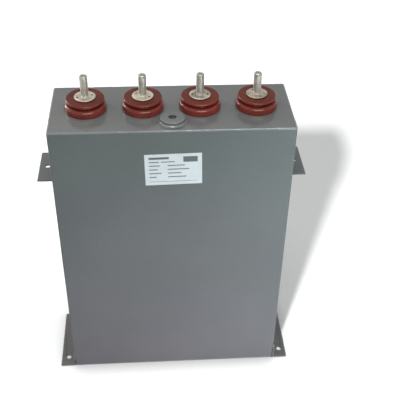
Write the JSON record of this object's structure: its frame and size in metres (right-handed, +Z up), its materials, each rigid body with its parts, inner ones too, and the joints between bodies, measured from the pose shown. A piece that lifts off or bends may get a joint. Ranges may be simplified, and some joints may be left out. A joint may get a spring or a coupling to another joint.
{
  "type": "pulse capacitor",
  "caption": "Flat upright metal-cased pulse capacitor with stud terminals on glossy red-brown bushings, a fill port on the lid and folded fixing brackets.",
  "frame": {"origin": "middle of the underside of the case, on the floor", "axes": "+Z up, +X to the right seen from the labelled front, +Y from the front to the back"},
  "size_m": [0.39, 0.1252, 0.522],
  "materials": {
    "case_paint": "satin grey enamel on sheet steel",
    "label_paper": "smooth white sticker",
    "port_seal": "dull solder, painted over",
    "bushing_red": "glossy red-brown insulator",
    "gasket_rubber": "black rubber",
    "collar_phenolic": "brown laminate",
    "terminal_metal": "tinned, turned finish",
    "clamp_steel": "zinc-plated steel",
    "bus_copper": "bare copper sheet",
    "winding_film": "metallised film roll",
    "pressboard": "tan electrical pressboard"
  },
  "bodies": {
    "root": {"case_wrapper": "case_paint", "base_plate": "case_paint", "lid": "case_paint", "upper_bracket_left": "case_paint", "upper_bracket_right": "case_paint", "foot_bracket_left": "case_paint", "foot_bracket_right": "case_paint", "fill_port_seat": "case_paint", "fill_port_cap": "case_paint", "rating_label": "label_paper", "fill_port_seal": "port_seal", "bushing_1": "bushing_red", "bushing_2": "bushing_red", "bushing_3": "bushing_red", "bushing_4": "bushing_red", "bushing_gasket_1": "gasket_rubber", "bushing_gasket_2": "gasket_rubber", "bushing_gasket_3": "gasket_rubber", "bushing_gasket_4": "gasket_rubber", "inner_collar_1": "collar_phenolic", "inner_collar_2": "collar_phenolic", "inner_collar_3": "collar_phenolic", "inner_collar_4": "collar_phenolic", "terminal_1": "terminal_metal", "terminal_2": "terminal_metal", "terminal_3": "terminal_metal", "terminal_4": "terminal_metal", "clamp_washers": "clamp_steel", "clamp_nuts": "clamp_steel", "lead_nuts": "clamp_steel", "bus_front": "bus_copper", "bus_rear": "bus_copper", "winding_left_1": "winding_film", "winding_left_2": "winding_film", "winding_left_3": "winding_film", "winding_left_4": "winding_film", "winding_left_5": "winding_film", "winding_left_6": "winding_film", "winding_right_1": "winding_film", "winding_right_2": "winding_film", "winding_right_3": "winding_film", "winding_right_4": "winding_film", "winding_right_5": "winding_film", "winding_right_6": "winding_film", "pack_wrap": "pressboard", "base_board": "pressboard", "top_board": "pressboard", "centre_board": "pressboard", "pack_spacer_left": "pressboard", "pack_spacer_right": "pressboard"}
  },
  "joints": []
}
